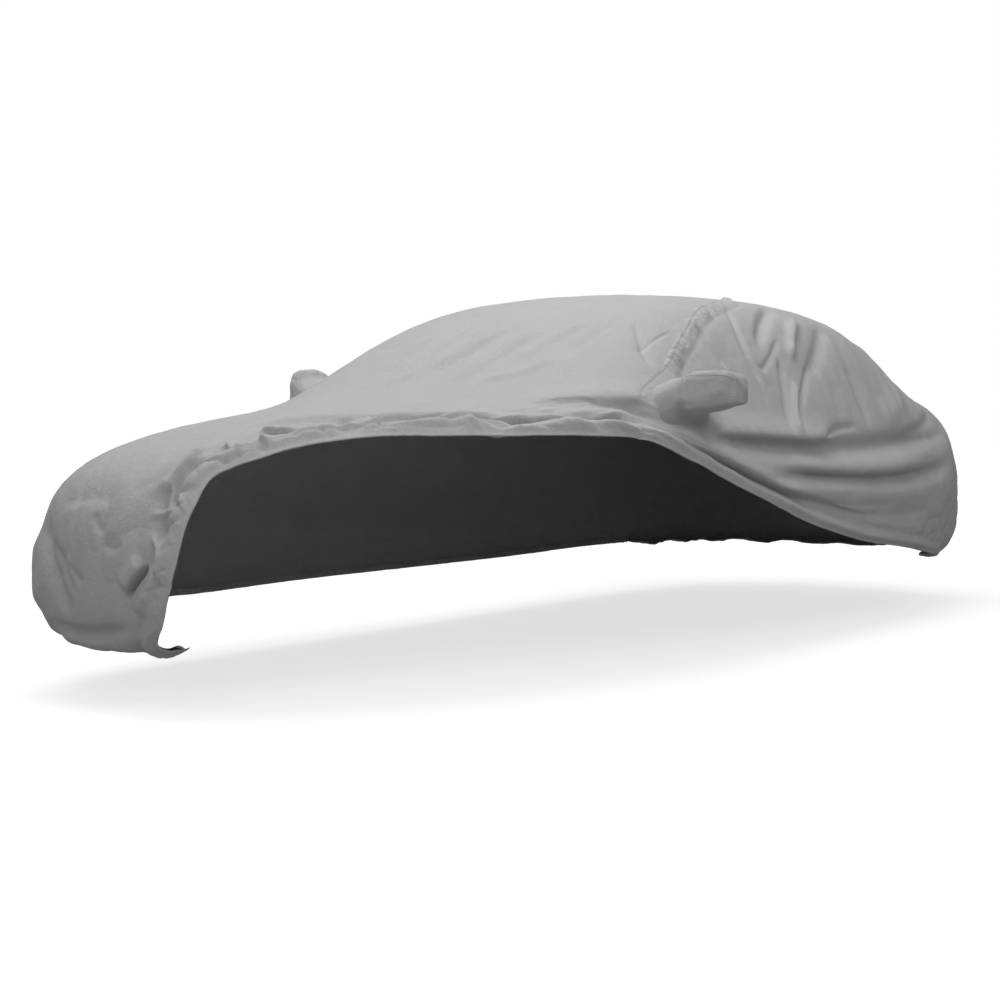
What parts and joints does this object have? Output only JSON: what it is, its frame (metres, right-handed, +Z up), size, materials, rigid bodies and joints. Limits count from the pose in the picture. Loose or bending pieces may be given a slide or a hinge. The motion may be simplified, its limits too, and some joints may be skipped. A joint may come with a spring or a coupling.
{
  "type": "car cover",
  "caption": "Fitted cloth cover for a full-size saloon, draped over the whole body with mirror pockets and drawn back off the near front wing and door.",
  "frame": {"origin": "the point under the middle of the roof cloth where the cover rests on the car, 2 mm below the cloth and 1.502 m above the ground", "axes": "+X to the left side of the car, which is the side the cover is drawn back from; +Y to the rear of the car; +Z up"},
  "size_m": [2.14, 5.3316, 1.3248],
  "materials": {
    "cover_cloth": "matt soft grey non-woven cloth",
    "pocket_cloth": "matt soft grey non-woven cloth"
  },
  "bodies": {
    "root": {"top_panel": "cover_cloth", "side_panel_left": "cover_cloth", "side_panel_right": "cover_cloth", "mirror_pocket_left": "pocket_cloth", "mirror_pocket_right": "pocket_cloth"}
  },
  "joints": []
}
